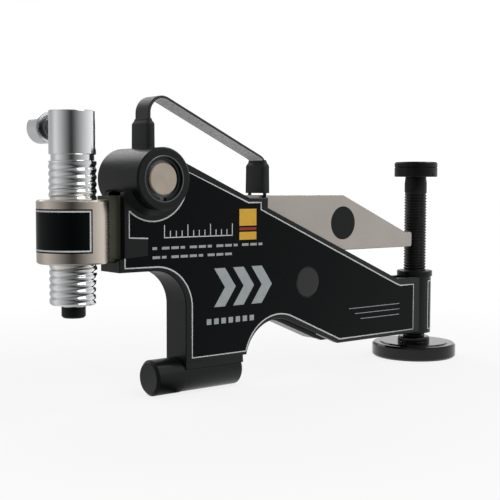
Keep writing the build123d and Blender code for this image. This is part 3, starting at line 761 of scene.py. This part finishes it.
def load_pin():
    """Ground pin whose ends stand almost flush with the load tube."""
    radius, chamfer, drop = half_size("load_pin")[0], 0.9, 0.9
    end = TUBE_HALF_LENGTH - drop
    profile = [(0.0, -end), (radius - chamfer, -end), (radius, chamfer - end), (radius, end - chamfer),
               (radius - chamfer, end), (0.0, end)]
    obj = turned_mesh(profile, 0.0, 96)
    lay_down(obj, TUBE_CENTRE)
    smooth(obj)
    finish_piece(obj, "ground_load_pin", "load_roller", [ground_steel], ["load_pin"])


def bore_edges():
    """Bare turned edge at both mouths of the load tube's bore."""
    inner, outer, rounding = 17.95, 19.2, 0.3
    face, crest, sunk = TUBE_HALF_LENGTH, TUBE_HALF_LENGTH + 0.15, TUBE_HALF_LENGTH - 0.6
    for name, side in (("front_bore_edge", -1), ("rear_bore_edge", 1)):
        profile = [(inner, side * sunk), (outer, side * face), (outer - rounding, side * crest),
                   (inner + rounding, side * crest), (inner, side * sunk)]
        obj = turned_mesh(profile, 0.0, 96)
        lay_down(obj, TUBE_CENTRE)
        smooth(obj)
        finish_piece(obj, name, "frame", [worn_edge])


def wrap(name, body, radius, thickness, levels, angles, material, steps):
    """Thin closed shell on the collar or the leg boss: an upright face spun between two angles."""
    low, high = levels
    start, end = angles
    axis_x, slot = {"carriage": (CYLINDER_X, "satin_nickel"), "frame": (LEG_X, "black_paint")}[body]
    skin_radius, turn = radius + thickness / 2, radians(start)
    place = (axis_x + skin_radius * cos(turn), skin_radius * sin(turn), (low + high) / 2)
    deselect()
    bpy.ops.mesh.primitive_plane_add(
        size=MM, location=[value * MM for value in place], rotation=(pi / 2, 0, turn))
    obj = bpy.context.object
    obj.scale = (thickness, high - low, 1)
    bpy.ops.object.transform_apply()
    edit(obj)
    # Spin turns clockwise about its axis, so the axis points down
    bpy.ops.mesh.spin(
        steps=steps, angle=radians(end - start), center=(axis_x * MM, 0, 0), axis=(0, 0, -1))
    close_mesh()
    smooth(obj)
    finish_piece(obj, name, body, [material])


def collar_band():
    """Black film with a white keyline, wrapped round the collar and open towards the body."""
    collar_low, collar_high = heights("collar")
    low, high = collar_low + 9.1, collar_high - 7.0
    seam, line_start, line_end = 87.6, 90.0, 92.5
    inset, line = 1.2, 1.2
    outer = COLLAR_RADIUS + WRAP_THICKNESS
    wrap("collar_film", "carriage", COLLAR_RADIUS, WRAP_THICKNESS, (low, high), (seam, 360 - seam),
         vinyl_film, 96)
    for name, z in (("collar_line_low", low + inset), ("collar_line_high", high - inset - line)):
        wrap(name, "carriage", outer, INK_THICKNESS, (z, z + line), (line_start, 360 - line_start),
             white_ink, 96)
    for name, side in (("collar_edge_front", -1), ("collar_edge_rear", 1)):
        wrap(name, "carriage", outer, INK_THICKNESS, (low + inset, high - inset),
             (side * line_start, side * line_end), white_ink, 4)


def boss_label():
    """Black film with a white keyline on the front of the leg boss, plain inside."""
    boss_low, boss_high = heights("leg_boss")
    low, high = boss_low + 3.0, boss_high - 3.2
    start, end = -88.0, -22.0
    inset, line, turn_inset, line_turn = 1.0, 1.0, 3.0, 3.4
    outer = BOSS_RADIUS + WRAP_THICKNESS
    wrap("boss_film", "frame", BOSS_RADIUS, WRAP_THICKNESS, (low, high), (start, end), vinyl_film, 24)
    left, right = start + turn_inset, end - turn_inset
    for name, z in (("boss_line_low", low + inset), ("boss_line_high", high - inset - line)):
        wrap(name, "frame", outer, INK_THICKNESS, (z, z + line), (left, right), white_ink, 20)
    for name, angle in (("boss_line_left", left), ("boss_line_right", right - line_turn)):
        wrap(name, "frame", outer, INK_THICKNESS, (low + inset, high - inset),
             (angle, angle + line_turn), white_ink, 3)


def floor_material():
    """Floor that is white with a faint shadow to the camera, and the room's level in reflections."""
    centre, near, far = (0.1, 0.0, 0.0), 0.2, 0.7
    near_share, grey = 0.82, 0.9
    material = new_material("pale_floor")
    tree = material.node_tree
    rays = add_node(tree, "ShaderNodeLightPath")
    place = add_node(tree, "ShaderNodeTexCoord").outputs["Object"]
    distance = add_node(tree, "ShaderNodeVectorMath", {0: place, 1: centre}, operation="DISTANCE")
    white = add_node(
        tree, "ShaderNodeMapRange",
        {"Value": distance.outputs["Value"], "From Min": near, "From Max": far,
         "To Min": near_share, "To Max": 1.0},
        interpolation_type="SMOOTHSTEP")
    seen = add_node(
        tree, "ShaderNodeMath",
        {0: rays.outputs["Is Camera Ray"], 1: white.outputs["Result"]}, operation="MULTIPLY")
    share = add_node(
        tree, "ShaderNodeMath", {0: seen.outputs[0], 1: rays.outputs["Is Glossy Ray"]},
        operation="MAXIMUM")
    matt = add_node(tree, "ShaderNodeBsdfDiffuse", {"Color": (grey, grey, grey, 1)})
    outwards = add_node(tree, "ShaderNodeVectorMath", {0: place}, operation="NORMALIZE")
    level = add_node(
        tree, "ShaderNodeMix",
        {0: rays.outputs["Is Camera Ray"], 2: room_level(tree, outwards.outputs["Vector"]), 3: 1.0},
        data_type="FLOAT")
    glow = add_node(tree, "ShaderNodeEmission", {"Color": (1, 1, 1, 1), "Strength": level.outputs[0]})
    mix = add_node(
        tree, "ShaderNodeMixShader",
        {0: share.outputs[0], 1: matt.outputs["BSDF"], 2: glow.outputs["Emission"]})
    add_node(tree, "ShaderNodeOutputMaterial", {"Surface": mix.outputs["Shader"]})
    return material


def studio():
    """Pale floor under the tool, three soft lamps and the room."""
    floor_size = 30.0
    deselect()
    bpy.ops.mesh.primitive_plane_add(size=floor_size, location=(0, 0, cad_box[0][2]))
    floor = bpy.context.object
    floor.name = "floor"
    floor.data.materials.append(floor_material())
    room()
    lamp("back_softbox", place=(0.2, 1.3, 1.3), size=1.1, watts=7.0, target=(0.05, 0, 0.1))
    lamp("front_softbox", place=(0.4, -1.5, 1.4), size=1.2, watts=10.0, target=(0.05, 0, 0.1))
    lamp("right_softbox", place=(1.3, -0.2, 1.6), size=0.5, watts=5.0, target=(0, 0, 0.15))


def room_level(tree, direction):
    """Brightness that reflections see: dark towards the camera and the ceiling, pale all round."""
    darkest, rise, curve = 0.02, 0.84, 0.62
    ceiling_height, ceiling_share = 0.8, 0.5
    screen_edge, screen_share = 0.5, 0.4
    facing = add_node(
        tree, "ShaderNodeVectorMath", {0: direction, 1: CAMERA_SIDE}, operation="DOT_PRODUCT")
    away = add_node(tree, "ShaderNodeMath", {0: 1.0, 1: facing.outputs["Value"]}, operation="SUBTRACT")
    turn = add_node(tree, "ShaderNodeMath", {0: away.outputs[0], 1: curve}, operation="POWER")
    around = add_node(
        tree, "ShaderNodeMath", {0: turn.outputs[0], 1: rise, 2: darkest}, operation="MULTIPLY_ADD")
    height = add_node(tree, "ShaderNodeSeparateXYZ", {"Vector": direction}).outputs["Z"]
    ceiling = add_node(
        tree, "ShaderNodeMapRange",
        {"Value": height, "From Min": 0.0, "From Max": ceiling_height, "To Min": 1.0,
         "To Max": ceiling_share})
    screen = add_node(
        tree, "ShaderNodeVectorMath", {0: direction, 1: SCREEN_SIDE}, operation="DOT_PRODUCT")
    shade = add_node(
        tree, "ShaderNodeMapRange",
        {"Value": screen.outputs["Value"], "From Min": screen_edge, "From Max": 1.0, "To Min": 1.0,
         "To Max": screen_share},
        interpolation_type="SMOOTHSTEP")
    upper = add_node(
        tree, "ShaderNodeMath", {0: around.outputs[0], 1: ceiling.outputs["Result"]},
        operation="MULTIPLY")
    level = add_node(
        tree, "ShaderNodeMath", {0: upper.outputs[0], 1: shade.outputs["Result"]},
        operation="MULTIPLY")
    return level.outputs[0]


def room():
    """World: white to the camera, the room's level in reflections, and an even level as fill light."""
    fill_level = 0.4
    world = bpy.data.worlds.new("studio_room")
    world.use_nodes = True
    tree = world.node_tree
    tree.nodes.clear()
    rays = add_node(tree, "ShaderNodeLightPath")
    direction = add_node(tree, "ShaderNodeTexCoord").outputs["Generated"]
    level = add_node(
        tree, "ShaderNodeMix",
        {0: rays.outputs["Is Diffuse Ray"], 2: room_level(tree, direction), 3: fill_level},
        data_type="FLOAT")
    strength = add_node(
        tree, "ShaderNodeMath",
        {0: level.outputs[0], 1: rays.outputs["Is Camera Ray"]}, operation="MAXIMUM")
    glow = add_node(
        tree, "ShaderNodeBackground", {"Color": (1, 1, 1, 1), "Strength": strength.outputs[0]})
    add_node(tree, "ShaderNodeOutputWorld", {"Surface": glow.outputs["Background"]})
    bpy.context.scene.world = world


def lamp(name, place, size, watts, target):
    """Square soft lamp at place that faces the target, in metres."""
    data = bpy.data.lights.new(name, "AREA")
    data.size = size
    data.energy = watts
    obj = bpy.data.objects.new(name, data)
    bpy.context.scene.collection.objects.link(obj)
    aim = Vector(target) - Vector(place)
    obj.matrix_world = Matrix.Translation(place) @ aim.to_track_quat("-Z", "Y").to_matrix().to_4x4()


def camera():
    """The photograph's own view."""
    data = bpy.data.cameras.new("photo_camera")
    data.sensor_width = SENSOR_MM
    data.lens = FOCAL_PIXELS * SENSOR_MM / PHOTO_PIXELS
    obj = bpy.data.objects.new("photo_camera", data)
    bpy.context.scene.collection.objects.link(obj)
    turn = Matrix.Rotation(CAMERA_TURN, 4, "Z")
    tilt = Matrix.Rotation(CAMERA_TILT, 4, "X")
    roll = Matrix.Rotation(CAMERA_ROLL, 4, "Z")
    obj.matrix_world = Matrix.Translation(CAMERA_PLACE) @ turn @ tilt @ roll
    bpy.context.scene.camera = obj


bpy.context.scene.view_settings.view_transform = "Standard"
camera()
studio()
finish_nodes()
ink_plane = printed_panel()
plain_marks(ink_plane)
threaded_barrel()
threaded_leg()
collar_band()
boss_label()
carrying_strap()
boots()
bridge()
load_pin()
bore_edges()
